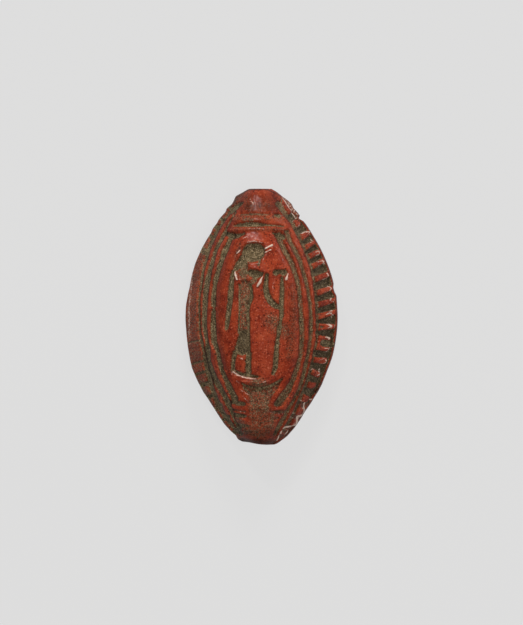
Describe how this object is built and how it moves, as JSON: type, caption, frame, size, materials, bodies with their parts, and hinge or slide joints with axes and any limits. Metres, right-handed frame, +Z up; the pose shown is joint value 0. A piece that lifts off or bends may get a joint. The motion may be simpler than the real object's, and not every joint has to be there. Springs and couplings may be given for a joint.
{
  "type": "cowroid seal amulet",
  "caption": "Pierced cowrie-shaped seal amulet of red stone: carved back with a sunk standing figure in an oval field, long ridges, a notched border and a flat underside.",
  "frame": {"origin": "middle of the flat underside", "axes": "+X across the seal to the figure's right-hand side as seen, +Y along the string hole towards the figure's head, +Z up out of the carved back"},
  "size_m": [0.012, 0.02, 0.0062],
  "materials": {
    "red_stone": "worn polish, with dark dirt in the carving"
  },
  "bodies": {
    "root": {"cowroid_seal": "red_stone"}
  },
  "joints": []
}
